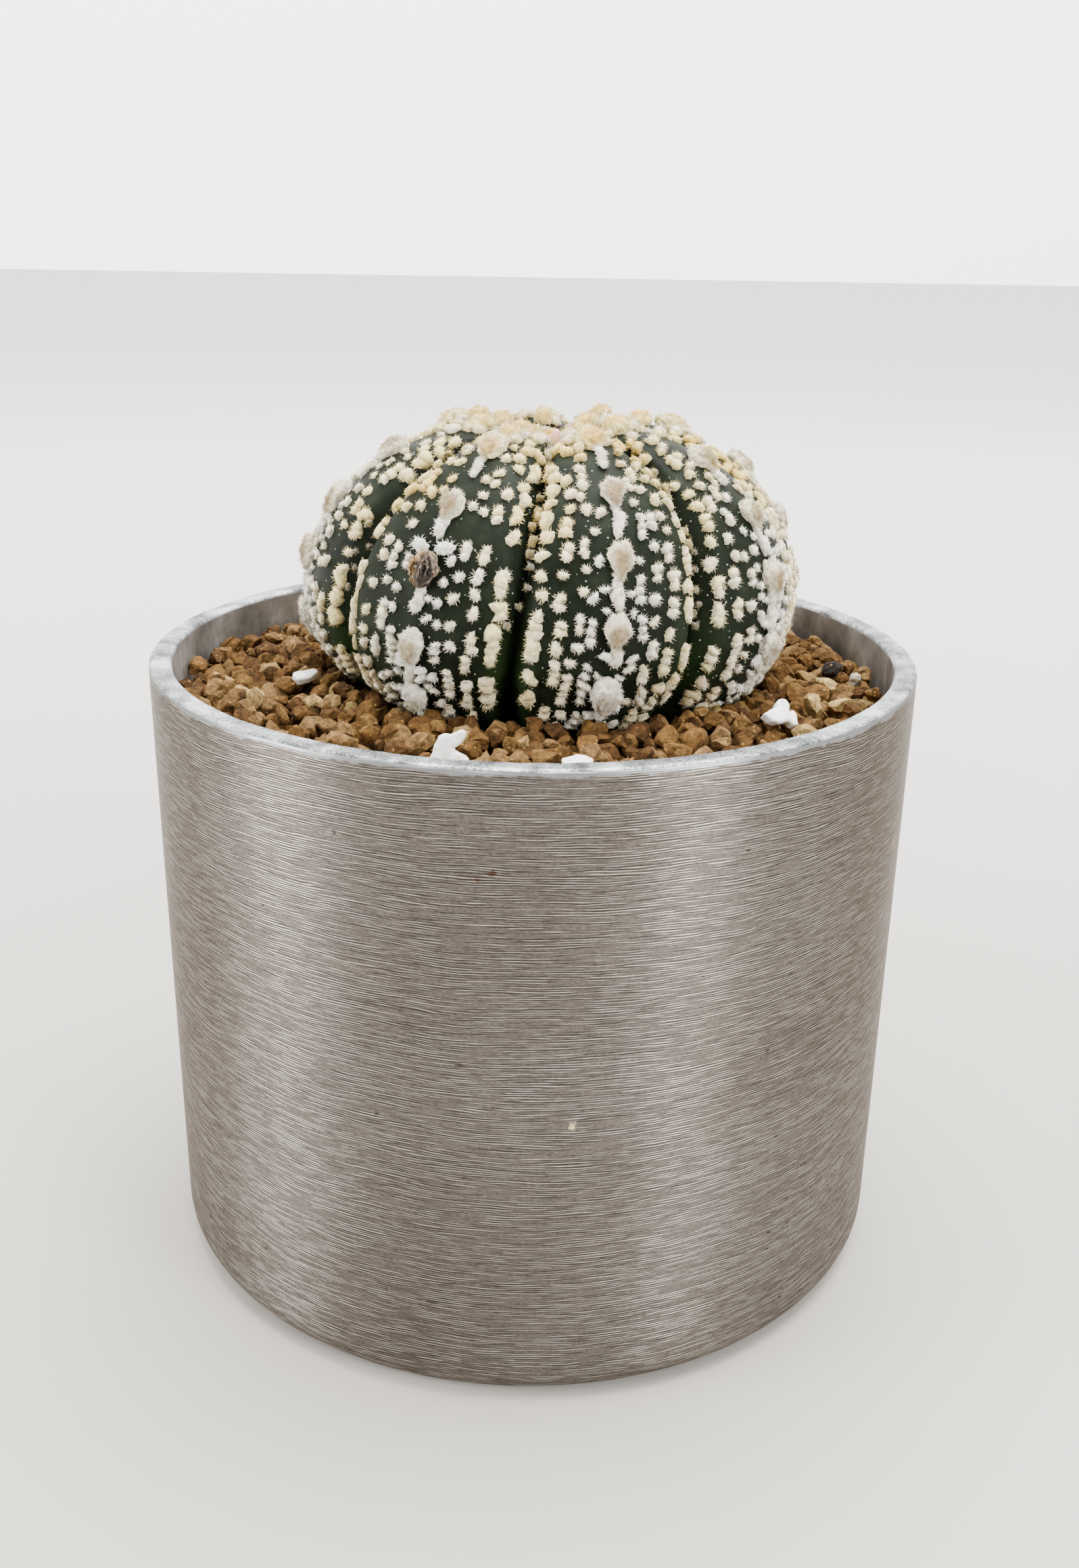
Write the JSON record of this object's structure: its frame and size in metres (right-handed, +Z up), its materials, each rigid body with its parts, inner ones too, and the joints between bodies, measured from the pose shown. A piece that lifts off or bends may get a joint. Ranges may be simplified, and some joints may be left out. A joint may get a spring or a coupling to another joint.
{
  "type": "potted round cactus",
  "caption": "Round ribbed cactus flecked with white wool, in baked clay grit in a thick-walled turned metal pot.",
  "frame": {"origin": "centre of the pot's flat base, on the surface that it stands on", "axes": "+Z up, -Y towards the side that the picture shows, +X to the right of that view"},
  "size_m": [0.11, 0.11, 0.123],
  "materials": {
    "turned_aluminium": "brushed",
    "plastic_net": "matte",
    "baked_clay_grit": "matte",
    "cactus_skin": "satin",
    "white_wool": "matte",
    "dried_flower": "matte",
    "pink_bud": "matte",
    "white_mineral": "matte"
  },
  "bodies": {
    "root": {"pot": "turned_aluminium", "drain_screen": "plastic_net", "soil": "baked_clay_grit", "cactus": "cactus_skin", "dried_bud": "dried_flower", "crown_bud": "pink_bud", "white_chip_1": "white_mineral", "white_chip_2": "white_mineral", "white_chip_3": "white_mineral", "white_chip_4": "white_mineral"}
  },
  "joints": []
}
